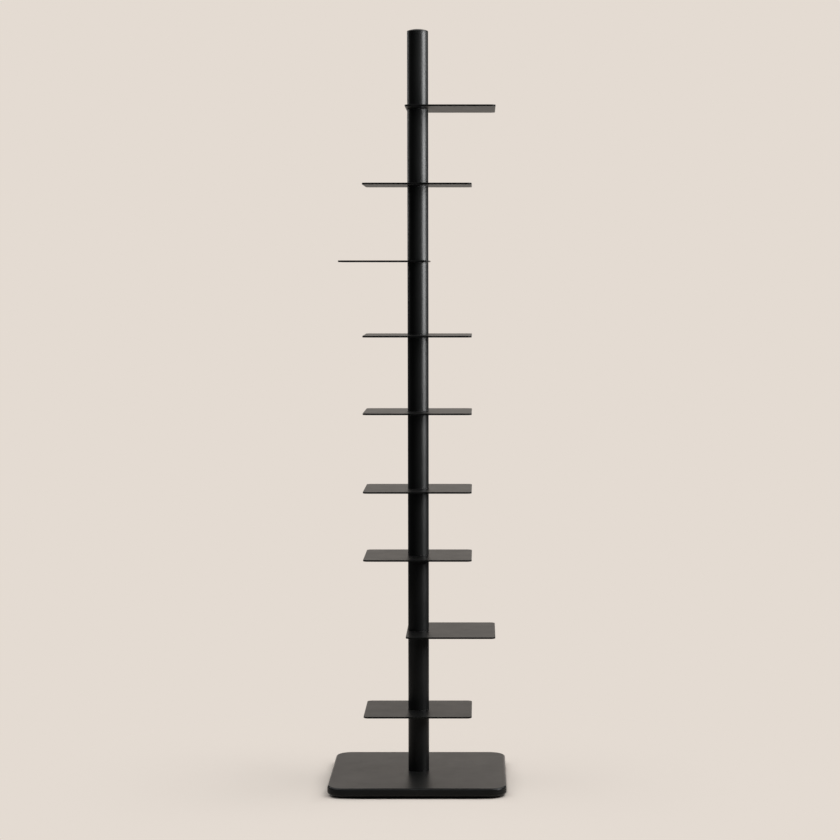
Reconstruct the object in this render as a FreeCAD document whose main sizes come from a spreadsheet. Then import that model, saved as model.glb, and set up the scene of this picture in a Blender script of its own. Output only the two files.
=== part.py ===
import FreeCAD, Part
import os
import Sketcher

# A free-standing spine bookshelf. Steel shelves are threaded on one tie rod between lengths of
# round tube, and the stack stands on a heavy square base. Each shelf turns about the spine.
# Millimetres, +Z up, the front faces -Y. The origin is on the floor, under the axis of the spine.

SIZES = {
    # Base slab, its rounded edges and the shallow seat that the lowest tube stands in
    "base_width": 356,
    "base_depth": 356,
    "base_thickness": 17,
    "base_corner_radius": 34,
    "base_top_edge_radius": 4.5,
    "base_under_edge_radius": 5,
    "seat_depth": 1.5,
    "seat_clearance": 0.1,
    # Glides pushed into the underside of the base
    "glide_diameter": 28,
    "glide_height": 3.5,
    "glide_edge_radius": 1,
    "glide_stem_diameter": 8,
    "glide_stem_length": 8,
    "glide_stem_clearance": 0.05,
    "glide_inset": 36,
    # Spine tubes, numbered from the floor up
    "tube_diameter": 42.4,
    "tube_wall": 2,
    "tube_end_chamfer": 0.3,
    "tube_1_length": 123.8,
    "tube_2_length": 158.1,
    "tube_3_length": 149.6,
    "tube_4_length": 132.1,
    "tube_5_length": 152.6,
    "tube_6_length": 150.1,
    "tube_7_length": 145.1,
    "tube_8_length": 149.1,
    "tube_9_length": 148.6,
    "tube_10_length": 150.3,
    # Plugs pressed into the tube ends, with a socket for the pivot bush
    "plug_length": 18,
    "plug_clearance": 0.05,
    "socket_depth": 14,
    "socket_clearance": 0.05,
    "plug_rod_clearance": 0.5,
    # Pivot bushes that the shelves turn on
    "bush_wall": 3.75,
    "bush_rod_clearance": 0.25,
    "bush_end_play": 0.4,
    # Slip washers above and below each shelf
    "slip_washer_thickness": 0.5,
    "slip_washer_clearance": 0.2,
    "slip_washer_inset": 0.7,
    # Shelves: one kind turns about its middle, the other reaches out to one side
    "shelf_thickness": 3.4,
    "shelf_corner_radius": 10,
    "shelf_edge_radius": 0.6,
    "shelf_turning_clearance": 0.1,
    "centre_shelf_width": 217.5,
    "centre_shelf_depth": 180,
    "side_shelf_length": 179.5,
    "side_shelf_depth": 200,
    "side_shelf_margin": 2.2,
    # Tie rod with its nut and washer under the base
    "rod_diameter": 12,
    "rod_chamfer": 1,
    "rod_projection": 1.5,
    "rod_hole_clearance": 0.3,
    "nut_width": 18,
    "nut_height": 6,
    "nut_chamfer": 0.8,
    "nut_recess": 2,
    "thread_clearance": 0.05,
    "spanner_room": 6,
    "clamp_washer_diameter": 24,
    "clamp_washer_thickness": 2.5,
    "clamp_washer_clearance": 0.5,
    # Cap that closes the top tube and takes the upper end of the rod
    "cap_height": 6,
    "cap_crown": 3.8,
    "cap_edge_radius": 1.5,
    "cap_spigot_length": 22,
    "cap_spigot_clearance": 0.1,
    "cap_thread_depth": 20,
    "cap_rod_gap": 3,
}

# Kind of each shelf from the floor up, and the way it is turned about the spine in degrees
SHELF_LAYOUT = (
    ("centre", 0),
    ("side", 0),
    ("centre", 0),
    ("centre", 0),
    ("centre", 0),
    ("centre", 0),
    ("side", 180),
    ("centre", 0),
    ("side", 0),
)
SHELF_COUNT = len(SHELF_LAYOUT)
TUBE_COUNT = SHELF_COUNT + 1

TOLERANCE = 1e-6
# How a sketch refers to its origin point, and to its flat and upright axes
ORIGIN = (-1, 1)
SKETCH_AXES = (-1, -2)
X_AXIS = FreeCAD.Vector(1, 0, 0)
Z_AXIS = FreeCAD.Vector(0, 0, 1)

# Lengths that several pieces share
TUBE_RADIUS = "sizes.tube_diameter / 2"
TUBE_BORE_RADIUS = f"({TUBE_RADIUS} - sizes.tube_wall)"
ROD_RADIUS = "sizes.rod_diameter / 2"
BUSH_RADIUS = f"({ROD_RADIUS} + sizes.bush_rod_clearance + sizes.bush_wall)"
NUT_CORNER_RADIUS = "sizes.nut_width / sqrt(3)"
NUT_POCKET_DEPTH = "(sizes.clamp_washer_thickness + sizes.nut_height + sizes.nut_recess)"
SEAT_LEVEL = "(sizes.glide_height + sizes.base_thickness - sizes.seat_depth)"

doc = FreeCAD.newDocument("spine_bookshelf")
sheet = doc.addObject("Spreadsheet::Sheet", "sizes")
nodes = []


def fill_sheet():
    """Write every driving dimension in the sheet, with its name as the cell's alias."""
    for row, (name, value) in enumerate(SIZES.items(), 1):
        sheet.set(f"A{row}", name)
        sheet.set(f"B{row}", str(value))
        sheet.setAlias(f"B{row}", name)
    doc.recompute()


def number(formula):
    """Value of a formula of the sheet, used to draw a sketch near its final shape."""
    return float(sheet.evalExpression(formula))


def add_body(label):
    body = doc.addObject("PartDesign::Body", label)
    body.Label = label
    return body


def add_sketch(body, name, plane_role):
    """Empty sketch on one of the body's own origin planes."""
    plane = next(part for part in body.Origin.OriginFeatures if part.Role == plane_role)
    sketch = body.newObject("Sketcher::SketchObject", f"{body.Name}_{name}")
    sketch.AttachmentSupport = [(plane, "")]
    sketch.MapMode = "FlatFace"
    return sketch


def bind(sketch, constraint, name, formula):
    """Add a dimension to the sketch and tie it to a formula of the sheet."""
    sketch.renameConstraint(sketch.addConstraint(constraint), name)
    sketch.setExpression(f"Constraints.{name}", formula)


def add_circle(sketch, name, radius, centre=None):
    """Circle of a bound radius, on the origin or at a bound centre (x formula, y formula)."""
    place = (number(centre[0]), number(centre[1])) if centre else (0, 0)
    circle = Part.Circle(FreeCAD.Vector(*place, 0), Z_AXIS, number(radius))
    edge = sketch.addGeometry(circle)
    bind(sketch, Sketcher.Constraint("Radius", edge, number(radius)), name, radius)
    if centre is None:
        sketch.addConstraint(Sketcher.Constraint("Coincident", edge, 3, *ORIGIN))
        return
    for kind, formula, value in zip("XY", centre, place):
        dimension = Sketcher.Constraint(f"Distance{kind}", *ORIGIN, edge, 3, value)
        bind(sketch, dimension, f"{name}_{kind.lower()}", formula)


def add_rectangle(sketch, left, right, depth):
    """Rectangle that reaches left and right of the origin, and half its depth each way."""
    half_depth = f"({depth}) / 2"
    west, east, half = -number(left), number(right), number(half_depth)
    corners = [(west, -half), (east, -half), (east, half), (west, half)]
    for start, end in zip(corners, corners[1:] + corners[:1]):
        sketch.addGeometry(Part.LineSegment(FreeCAD.Vector(*start, 0), FreeCAD.Vector(*end, 0)))
    for edge in range(4):
        sketch.addConstraint(Sketcher.Constraint("Coincident", edge, 2, (edge + 1) % 4, 1))
        direction = "Horizontal" if edge % 2 == 0 else "Vertical"
        sketch.addConstraint(Sketcher.Constraint(direction, edge))
    bind(sketch, Sketcher.Constraint("DistanceX", 0, 1, *ORIGIN, -west), "left", left)
    bind(sketch, Sketcher.Constraint("DistanceX", *ORIGIN, 0, 2, east), "right", right)
    bind(sketch, Sketcher.Constraint("DistanceY", 0, 1, *ORIGIN, half), "front", half_depth)
    bind(sketch, Sketcher.Constraint("DistanceY", *ORIGIN, 2, 1, half), "back", half_depth)


def add_outline(sketch, outline, domed_edge=None):
    """Closed outline through (radius, height) corners, given counter-clockwise.

    The edge that starts at corner domed_edge is an arc centred on the axis of revolution.
    """
    flat_axis, upright_axis = SKETCH_AXES
    points = [FreeCAD.Vector(number(radius), number(height), 0) for radius, height in outline]
    for index, (start, end) in enumerate(zip(points, points[1:] + points[:1])):
        if index != domed_edge:
            sketch.addGeometry(Part.LineSegment(start, end))
            continue
        rise = end.y - start.y
        radius = (start.x ** 2 + rise ** 2) / (2 * rise)
        middle_height = end.y - radius + (radius ** 2 - (start.x / 2) ** 2) ** 0.5
        sketch.addGeometry(Part.Arc(start, FreeCAD.Vector(start.x / 2, middle_height, 0), end))
        sketch.addConstraint(Sketcher.Constraint("PointOnObject", index, 3, upright_axis))
    for index, (radius, height) in enumerate(outline):
        following = (index + 1) % len(outline)
        sketch.addConstraint(Sketcher.Constraint("Coincident", index, 2, following, 1))
        for kind, formula, axis in (("X", radius, upright_axis), ("Y", height, flat_axis)):
            if formula == "0":
                sketch.addConstraint(Sketcher.Constraint("PointOnObject", index, 1, axis))
                continue
            dimension = Sketcher.Constraint(f"Distance{kind}", *ORIGIN, index, 1, number(formula))
            bind(sketch, dimension, f"{kind.lower()}_{index}", formula)


def turned_feature(body, kind, name, outline, domed_edge=None):
    """Revolution or groove of an outline about the upright axis."""
    sketch = add_sketch(body, f"{name}_outline", "XZ_Plane")
    add_outline(sketch, outline, domed_edge)
    feature = body.newObject(f"PartDesign::{kind}", f"{body.Name}_{name}")
    feature.Profile = sketch
    feature.ReferenceAxis = (sketch, ["V_Axis"])
    feature.Angle = 360
    doc.recompute()
    return feature


def turned_body(label, outline, domed_edge=None):
    """Body made on a lathe from one outline."""
    body = add_body(label)
    turned_feature(body, "Revolution", "turning", outline, domed_edge)
    return body


def padded_body(label, draw, height):
    """Body padded upwards from the sketch that draw fills in."""
    body = add_body(label)
    sketch = add_sketch(body, "outline", "XY_Plane")
    draw(sketch)
    pad = body.newObject("PartDesign::Pad", f"{label}_pad")
    pad.Profile = sketch
    pad.setExpression("Length", height)
    doc.recompute()
    return body


def cut_pocket(body, name, draw, depth=None):
    """Pocket cut upwards from the body's lower face, to a depth or right through."""
    sketch = add_sketch(body, name, "XY_Plane")
    draw(sketch)
    pocket = body.newObject("PartDesign::Pocket", f"{body.Name}_{name}_pocket")
    pocket.Profile = sketch
    pocket.Reversed = True
    if depth is None:
        pocket.Type = "ThroughAll"
    else:
        pocket.setExpression("Length", depth)
    doc.recompute()


def edges_of(body, wanted):
    """Names of the edges of the body's last feature that the test picks."""
    edges = enumerate(body.Tip.Shape.Edges, 1)
    return [f"Edge{index}" for index, edge in edges if wanted(edge)]


def is_upright(edge):
    box = edge.BoundBox
    return box.XLength < TOLERANCE and box.YLength < TOLERANCE


def is_level(edge, height):
    box = edge.BoundBox
    return abs(box.ZMin - height) < TOLERANCE and abs(box.ZMax - height) < TOLERANCE


def is_ring(edge, radius):
    return isinstance(edge.Curve, Part.Circle) and abs(edge.Curve.Radius - radius) < TOLERANCE


def dress_edges(body, kind, name, wanted, size):
    """Fillet or chamfer of the edges that the test picks."""
    picked = edges_of(body, wanted)
    base = body.Tip
    feature = body.newObject(f"PartDesign::{kind}", f"{body.Name}_{name}")
    feature.Base = (base, picked)
    feature.setExpression("Radius" if kind == "Fillet" else "Size", size)
    doc.recompute()


def stand_at(piece, height, rotation=None):
    """Place a piece on the axis at a bound height, turned where a rotation is given."""
    if rotation is not None:
        piece.Placement = FreeCAD.Placement(FreeCAD.Vector(), rotation)
    piece.setExpression("Placement.Base.z", height)


def level_of(piece):
    """Formula for the height that a piece stands at, as a plain number of millimetres."""
    return f"({piece.Name}.Placement.Base.z / 1 mm)"


def group(label, pieces):
    """One node that holds several separate solids."""
    compound = doc.addObject("Part::Compound", label)
    compound.Label = label
    compound.Links = pieces
    nodes.append(compound)


def make_base():
    """Solid steel slab with a seat for the tube above and a pocket for the nut below."""
    half_width = "sizes.base_width / 2"
    thickness = "sizes.base_thickness"

    def outline(sketch):
        add_rectangle(sketch, half_width, half_width, "sizes.base_depth")

    base = padded_body("base_slab", outline, thickness)
    dress_edges(base, "Fillet", "corners", is_upright, "sizes.base_corner_radius")
    rim_limit = "0.45 * sizes.base_thickness"
    for name, height, radius in (
        ("top_rim", number(thickness), "sizes.base_top_edge_radius"),
        ("under_rim", 0, "sizes.base_under_edge_radius"),
    ):
        dress_edges(base, "Fillet", name, lambda edge: is_level(edge, height), f"min({radius}; {rim_limit})")

    pocket_radius = f"{NUT_CORNER_RADIUS} + sizes.spanner_room"
    hole_radius = f"{ROD_RADIUS} + sizes.rod_hole_clearance"
    seat_radius = f"{TUBE_RADIUS} + sizes.seat_clearance"
    seat_height = "sizes.base_thickness - sizes.seat_depth"
    turned_feature(base, "Groove", "spine_seat", [
        ("0", "0"),
        (pocket_radius, "0"),
        (pocket_radius, NUT_POCKET_DEPTH),
        (hole_radius, NUT_POCKET_DEPTH),
        (hole_radius, seat_height),
        (seat_radius, seat_height),
        (seat_radius, thickness),
        ("0", thickness),
    ])

    def stem_holes(sketch):
        stem_radius = "sizes.glide_stem_diameter / 2 + sizes.glide_stem_clearance"
        for index, centre in enumerate(glide_centres(), 1):
            add_circle(sketch, f"stem_{index}", stem_radius, centre)

    cut_pocket(base, "stem_holes", stem_holes, "sizes.glide_stem_length + sizes.glide_stem_clearance")
    stand_at(base, "sizes.glide_height")
    nodes.append(base)


def glide_centres():
    """Formulas for the four glide centres, near the corners of the base."""
    reach_x = "(sizes.base_width / 2 - sizes.glide_inset)"
    reach_y = "(sizes.base_depth / 2 - sizes.glide_inset)"
    return [(f"{sign_x} * {reach_x}", f"{sign_y} * {reach_y}") for sign_x in (-1, 1) for sign_y in (-1, 1)]


def make_glides():
    """Four push-in glides, each a disc on the floor with a stem in the base."""
    rim_radius = "sizes.glide_diameter / 2"
    stem_radius = "sizes.glide_stem_diameter / 2"
    top = "sizes.glide_height + sizes.glide_stem_length"
    glides = []
    for index, (place_x, place_y) in enumerate(glide_centres(), 1):
        glide = turned_body(f"glide_{index}", [
            ("0", "0"),
            (rim_radius, "0"),
            (rim_radius, "sizes.glide_height"),
            (stem_radius, "sizes.glide_height"),
            (stem_radius, top),
            ("0", top),
        ])
        rim_fillet = "min(sizes.glide_edge_radius; 0.45 * sizes.glide_height)"
        dress_edges(glide, "Fillet", "rim", lambda edge: is_level(edge, 0), rim_fillet)
        glide.setExpression("Placement.Base.x", place_x)
        glide.setExpression("Placement.Base.y", place_y)
        glides.append(glide)
    group("base_glides", glides)


def make_tube(index, level):
    """Length of round tube with its outer end edges broken."""
    def outline(sketch):
        add_circle(sketch, "outside", TUBE_RADIUS)
        add_circle(sketch, "bore", TUBE_BORE_RADIUS)

    tube = padded_body(f"spine_tube_{index}", outline, f"sizes.tube_{index}_length")
    outside = number(TUBE_RADIUS)
    dress_edges(tube, "Chamfer", "ends", lambda edge: is_ring(edge, outside), "sizes.tube_end_chamfer")
    stand_at(tube, level)
    nodes.append(tube)
    return tube


def make_plug(label):
    """Ring that fills a tube end, with a socket for a bush in its upper face."""
    outer = f"{TUBE_BORE_RADIUS} - sizes.plug_clearance"
    socket = f"{BUSH_RADIUS} + sizes.socket_clearance"
    rod_hole = f"{ROD_RADIUS} + sizes.plug_rod_clearance"
    shoulder = "sizes.plug_length - sizes.socket_depth"
    return turned_body(label, [
        (rod_hole, "0"),
        (outer, "0"),
        (outer, "sizes.plug_length"),
        (socket, "sizes.plug_length"),
        (socket, shoulder),
        (rod_hole, shoulder),
    ])


def make_tube_plugs(index, tube):
    """Plugs flush with the ends of a tube; the top tube has the cap instead of an upper one."""
    lower = make_plug(f"lower_plug_{index}")
    upside_down = FreeCAD.Rotation(X_AXIS, 180)
    stand_at(lower, f"{level_of(tube)} + sizes.plug_length", upside_down)
    plugs = [lower]
    if index < TUBE_COUNT:
        upper = make_plug(f"upper_plug_{index}")
        stand_at(upper, f"{level_of(tube)} + sizes.tube_{index}_length - sizes.plug_length")
        plugs.append(upper)
    group(f"tube_plugs_{index}", plugs)


def make_bush(index, tube_top):
    """Sleeve on the rod, from the plug below a shelf to the plug above it."""
    bore = f"{ROD_RADIUS} + sizes.bush_rod_clearance"
    grip = "sizes.shelf_thickness + 2 * sizes.slip_washer_thickness"
    length = f"2 * sizes.socket_depth + {grip} - sizes.bush_end_play"
    bush = turned_body(f"pivot_bush_{index}", [
        (bore, "0"),
        (BUSH_RADIUS, "0"),
        (BUSH_RADIUS, length),
        (bore, length),
    ])
    stand_at(bush, f"{tube_top} - sizes.socket_depth")
    nodes.append(bush)


def make_slip_washers(index, shelf):
    """Thin rings that the shelf turns between, a little smaller than the tube."""
    bore = f"{BUSH_RADIUS} + sizes.slip_washer_clearance"
    rim = f"{TUBE_RADIUS} - sizes.slip_washer_inset"
    thickness = "sizes.slip_washer_thickness"
    washers = []
    for place, offset in (("below", f"-{thickness}"), ("above", "+ sizes.shelf_thickness")):
        washer = turned_body(f"slip_washer_{place}_{index}", [
            (bore, "0"),
            (rim, "0"),
            (rim, thickness),
            (bore, thickness),
        ])
        stand_at(washer, f"{level_of(shelf)} {offset}")
        washers.append(washer)
    group(f"slip_washers_{index}", washers)


def make_shelf(index, kind, turn, tube_top):
    """Flat plate with rounded corners, eased edges and a hole that turns on the bush."""
    if kind == "centre":
        left = right = "sizes.centre_shelf_width / 2"
        depth = "sizes.centre_shelf_depth"
    else:
        left = f"{TUBE_RADIUS} + sizes.side_shelf_margin"
        right = f"sizes.side_shelf_length - ({left})"
        depth = "sizes.side_shelf_depth"
    thickness = number("sizes.shelf_thickness")

    shelf = padded_body(
        f"shelf_{index}",
        lambda sketch: add_rectangle(sketch, left, right, depth),
        "sizes.shelf_thickness",
    )
    dress_edges(shelf, "Fillet", "corners", is_upright, "sizes.shelf_corner_radius")
    dress_edges(
        shelf,
        "Fillet",
        "rims",
        lambda edge: is_level(edge, 0) or is_level(edge, thickness),
        "min(sizes.shelf_edge_radius; 0.45 * sizes.shelf_thickness)",
    )
    hole_radius = f"{BUSH_RADIUS} + sizes.shelf_turning_clearance"
    cut_pocket(shelf, "bush_hole", lambda sketch: add_circle(sketch, "hole", hole_radius))
    turned = FreeCAD.Rotation(Z_AXIS, turn)
    stand_at(shelf, f"{tube_top} + sizes.slip_washer_thickness", turned)
    nodes.append(shelf)
    return shelf


def make_spine():
    """Stack of tubes and shelves from the seat in the base up; gives the top tube back."""
    level = SEAT_LEVEL
    for index in range(1, TUBE_COUNT + 1):
        tube = make_tube(index, level)
        make_tube_plugs(index, tube)
        if index == TUBE_COUNT:
            return tube
        tube_top = f"{level_of(tube)} + sizes.tube_{index}_length"
        shelf = make_shelf(index, *SHELF_LAYOUT[index - 1], tube_top)
        make_slip_washers(index, shelf)
        make_bush(index, tube_top)
        level = f"{level_of(shelf)} + sizes.shelf_thickness + sizes.slip_washer_thickness"


def make_cap(top_tube):
    """Crowned cap with a spigot in the top tube and a blind thread for the rod."""
    thread = f"{ROD_RADIUS} + sizes.thread_clearance"
    spigot = f"{TUBE_BORE_RADIUS} - sizes.cap_spigot_clearance"
    shoulder = "sizes.cap_spigot_length"
    crown = f"{shoulder} + sizes.cap_height"
    rim = (TUBE_RADIUS, f"{crown} - sizes.cap_crown")
    outline = [
        (thread, "0"),
        (spigot, "0"),
        (spigot, shoulder),
        (TUBE_RADIUS, shoulder),
        rim,
        ("0", crown),
        ("0", "sizes.cap_thread_depth"),
        (thread, "sizes.cap_thread_depth"),
    ]
    cap = turned_body("top_cap", outline, domed_edge=outline.index(rim))
    rim_height = number(rim[1])
    rim_fillet = "min(sizes.cap_edge_radius; 0.8 * (sizes.cap_height - sizes.cap_crown))"
    dress_edges(cap, "Fillet", "rim", lambda edge: is_level(edge, rim_height), rim_fillet)
    tube_top = f"{level_of(top_tube)} + sizes.tube_{TUBE_COUNT}_length"
    stand_at(cap, f"{tube_top} - sizes.cap_spigot_length")
    nodes.append(cap)
    return cap


def make_rod(cap):
    """Tie rod from just below the nut to near the end of the cap's thread."""
    bottom = "(sizes.glide_height + sizes.nut_recess - sizes.rod_projection)"
    top = f"({level_of(cap)} + sizes.cap_thread_depth - sizes.cap_rod_gap)"
    length = f"{top} - {bottom}"
    chamfered = f"{ROD_RADIUS} - sizes.rod_chamfer"
    rod = turned_body("tie_rod", [
        ("0", "0"),
        (chamfered, "0"),
        (ROD_RADIUS, "sizes.rod_chamfer"),
        (ROD_RADIUS, f"{length} - sizes.rod_chamfer"),
        (chamfered, length),
        ("0", length),
    ])
    stand_at(rod, bottom)
    nodes.append(rod)


def make_clamp():
    """Washer and thin hexagon nut that pull the stack together in the pocket of the base."""
    nut_level = "sizes.glide_height + sizes.nut_recess"
    bore = f"{ROD_RADIUS} + sizes.clamp_washer_clearance"
    rim = "sizes.clamp_washer_diameter / 2"
    washer = turned_body("clamp_washer", [
        (bore, "0"),
        (rim, "0"),
        (rim, "sizes.clamp_washer_thickness"),
        (bore, "sizes.clamp_washer_thickness"),
    ])
    stand_at(washer, f"{nut_level} + sizes.nut_height")
    nodes.append(washer)

    thread = f"{ROD_RADIUS} + sizes.thread_clearance"
    face = f"{NUT_CORNER_RADIUS} - 2 * sizes.nut_chamfer"
    height = "sizes.nut_height"
    blank = turned_body("nut_blank", [
        (thread, "0"),
        (face, "0"),
        (NUT_CORNER_RADIUS, "sizes.nut_chamfer"),
        (NUT_CORNER_RADIUS, f"{height} - sizes.nut_chamfer"),
        (face, height),
        (thread, height),
    ])
    prism = doc.addObject("Part::Prism", "nut_prism")
    prism.Polygon = 6
    prism.setExpression("Circumradius", NUT_CORNER_RADIUS)
    prism.setExpression("Height", height)
    for piece in (blank, prism):
        stand_at(piece, nut_level)
    nut = doc.addObject("Part::MultiCommon", "clamp_nut")
    nut.Label = "clamp_nut"
    nut.Shapes = [prism, blank]
    nodes.append(nut)


def check_document():
    """Stop if any object failed or any node has no sound solid."""
    doc.recompute()
    for piece in doc.Objects:
        if "Invalid" in piece.State or "Error" in piece.State:
            raise RuntimeError(f"{piece.Label} failed: {piece.State}")
    for node in nodes:
        shape = node.Shape
        if shape.isNull() or not shape.isValid() or not shape.Solids:
            raise RuntimeError(f"{node.Label} has no sound solid")


def write_nodes():
    os.makedirs("parts", exist_ok=True)
    for node in nodes:
        node.Shape.exportStep(f"parts/{node.Label}.step")
        box = node.Shape.BoundBox
        solids = len(node.Shape.Solids)
        volume = node.Shape.Volume
        print(f"{node.Label}: {solids} solids, {volume:.1f} mm3, z {box.ZMin:.2f} to {box.ZMax:.2f}")


fill_sheet()
make_base()
make_glides()
spine_top = make_spine()
top_cap = make_cap(spine_top)
make_rod(top_cap)
make_clamp()
check_document()
write_nodes()
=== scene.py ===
# %% [markdown]
# # A spine bookshelf in black powder coat
# The bookshelf is a tower: nine thin steel plates threaded on one slim post, on a heavy square slab.
# The CAD model gives every solid its place and size. This script dresses it: the pieces that are
# seen get smooth skins of the same size, every piece gets a finish, and a small studio lights it.

import math

import bpy
import numpy as np
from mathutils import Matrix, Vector


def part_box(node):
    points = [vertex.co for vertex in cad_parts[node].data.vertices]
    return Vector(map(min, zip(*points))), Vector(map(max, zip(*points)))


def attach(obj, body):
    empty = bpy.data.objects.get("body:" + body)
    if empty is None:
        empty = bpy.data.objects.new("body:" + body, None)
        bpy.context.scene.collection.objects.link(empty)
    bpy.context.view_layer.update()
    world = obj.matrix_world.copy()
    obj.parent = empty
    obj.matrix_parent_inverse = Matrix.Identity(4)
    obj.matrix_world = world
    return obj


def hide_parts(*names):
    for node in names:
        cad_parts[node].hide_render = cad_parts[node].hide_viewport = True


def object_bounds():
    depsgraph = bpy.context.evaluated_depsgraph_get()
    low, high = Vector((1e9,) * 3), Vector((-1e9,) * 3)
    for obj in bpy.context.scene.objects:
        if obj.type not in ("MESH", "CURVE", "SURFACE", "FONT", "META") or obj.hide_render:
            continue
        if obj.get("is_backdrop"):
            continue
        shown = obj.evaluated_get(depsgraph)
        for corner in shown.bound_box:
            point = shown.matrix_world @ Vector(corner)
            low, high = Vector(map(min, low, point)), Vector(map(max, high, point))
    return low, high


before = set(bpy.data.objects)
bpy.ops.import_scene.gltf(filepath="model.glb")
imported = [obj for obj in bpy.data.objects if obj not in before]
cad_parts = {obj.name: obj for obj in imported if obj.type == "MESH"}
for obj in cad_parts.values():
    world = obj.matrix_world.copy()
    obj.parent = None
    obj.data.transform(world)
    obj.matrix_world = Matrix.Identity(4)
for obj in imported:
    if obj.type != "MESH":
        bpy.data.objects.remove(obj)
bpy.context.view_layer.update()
MILLIMETRE = 0.001

# %% [markdown]
# ## From a grid of points to a closed skin
# Almost every piece here is turned or pressed, so its surface is a section carried once round the
# piece. A grid of points says that directly: rows go round, columns go along the section. The faces
# follow from the numbering of the grid, so whole arrays do the work and no vertex is set by hand.
# Two things need care. The faces have to point outwards, and the volume they enclose has a sign that
# tells. And a skin that ends on its axis needs a pole, one point that a fan of triangles shares.

# %% Skin of a piece
SHARP_ANGLE = math.radians(38)


def enclosed(points, faces):
    """Six times the volume inside the faces, whose sign tells which way they point.

    It is the sum of first corner . (second x third) over all triangles, two for each quad.
    """
    first, second, third = points[faces[:, 0]], points[faces[:, 1]], points[faces[:, 2]]
    volume = np.sum(first * np.cross(second, third))
    if faces.shape[1] == 4:
        volume += np.sum(first * np.cross(third, points[faces[:, 3]]))
    return volume


def skin(name, grids, edge, poles=None, sharp=SHARP_ANGLE):
    """Mesh object from grids[copy, row, column, xyz], one closed shell for each copy.

    Rows meet again after one turn. Without poles the columns meet too, as on a ring. With poles
    [copy, 2, xyz] the first and last column are closed by fans to those two points. edge[column]
    is how far a point is on a rounded outer corner, from 0 on the flats to 1, kept as an attribute.
    """
    copies, rows, columns = grids.shape[:3]
    here = np.arange(rows * columns).reshape(rows, columns)
    across = np.roll(here, -1, axis=0)
    if poles is None:
        quads = np.stack([here, across, np.roll(across, -1, 1), np.roll(here, -1, 1)], axis=-1)
        fans = np.zeros((0, 3), int)
        shells = grids.reshape(copies, -1, 3)
    else:
        quads = np.stack([here[:, :-1], across[:, :-1], across[:, 1:], here[:, 1:]], axis=-1)
        low, high = np.full(rows, rows * columns), np.full(rows, rows * columns + 1)
        fans = np.vstack([
            np.stack([across[:, 0], here[:, 0], low], axis=-1),
            np.stack([here[:, -1], across[:, -1], high], axis=-1),
        ])
        shells = np.concatenate([grids.reshape(copies, -1, 3), poles], axis=1)
    quads = quads.reshape(-1, 4)
    if enclosed(shells[0], quads) + enclosed(shells[0], fans) < 0:
        quads, fans = quads[:, ::-1], fans[:, ::-1]

    start = (np.arange(copies) * shells.shape[1])[:, None, None]
    faces = (quads + start).reshape(-1, 4).tolist() + (fans + start).reshape(-1, 3).tolist()
    mesh = bpy.data.meshes.new(name)
    mesh.from_pydata(shells.reshape(-1, 3), [], faces)
    mesh.polygons.foreach_set("use_smooth", np.ones(len(faces), bool))
    mesh.set_sharp_from_angle(angle=sharp)
    wear = np.zeros(shells.shape[:2], np.float32)
    wear[:, :rows * columns] = np.tile(edge, rows)
    mesh.attributes.new("edge", "FLOAT", "POINT").data.foreach_set("value", wear.ravel())
    piece = bpy.data.objects.new(name, mesh)
    bpy.context.scene.collection.objects.link(piece)
    return piece


# %% [markdown]
# ## Sections with eased corners
# No real edge is perfectly sharp: cut steel is deburred, and the coat flows round what is left. Such
# an edge catches a thin line of light, which tells the eye how big and how solid the piece is. A
# Bevel modifier could round the corners, but the sections are known, so the arcs are worked out
# here. A point just beyond each end of an arc keeps the flat next to it flat when it is smoothed.

# %% Rounded section line
FLAT_KEEPER = 0.25


def unit(vectors):
    """Vectors of length one: each divided by its own length."""
    return vectors / np.linalg.norm(vectors, axis=-1, keepdims=True)


def eased(line, radii, worn, steps=6, closed=True):
    """Section line with round corners, and how far each of its points is on a worn corner.

    At each corner the two sides leave along back and ahead. The arc starts radius / tan(half angle)
    along them, its centre is radius / sin(half angle) along their bisector, and between its first
    and last spoke the spokes are mixed by sines, which keeps them equally long. An open line keeps
    its two ends out of the result. worn is 1 where the corner stands out and 0 where it is hidden.
    """
    line = np.asarray(line, float)
    if closed:
        before, corner, after = np.roll(line, 1, 0), line, np.roll(line, -1, 0)
    else:
        before, corner, after = line[:-2], line[1:-1], line[2:]
    radius = np.asarray(radii, float)[:, None]
    back, ahead = unit(before - corner), unit(after - corner)
    half = np.arccos(np.clip(np.sum(back * ahead, 1, keepdims=True), -1, 1)) / 2
    run = radius / np.tan(half)
    centre = corner + unit(back + ahead) * radius / np.sin(half)
    first, last = corner + back * run - centre, corner + ahead * run - centre
    share, sweep = np.linspace(0, 1, steps + 1), math.pi - 2 * half
    arc = (
        np.sin((1 - share) * sweep)[..., None] * first[:, None]
        + np.sin(share * sweep)[..., None] * last[:, None]
    ) / np.sin(sweep)[..., None]
    beyond = run + FLAT_KEEPER * radius
    points = np.concatenate([
        (corner + back * beyond)[:, None], centre[:, None] + arc, (corner + ahead * beyond)[:, None]
    ], axis=1)
    on_arc = np.concatenate([[0], np.sin(math.pi * share), [0]])
    edge = np.asarray(worn, float)[:, None] * on_arc
    return points.reshape(-1, 2), edge.ravel()


# %% [markdown]
# ## Turned pieces
# Tubes, rings, glides and the cap are all turned: their section, drawn as radius and height, goes
# round an axis. Blender's Screw modifier does this too. Doing it in numpy leaves one finished mesh at
# the origin, where the frame expects it, with no seam to weld.

# %% Turning a section
TURNED_ROWS = 96


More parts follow.
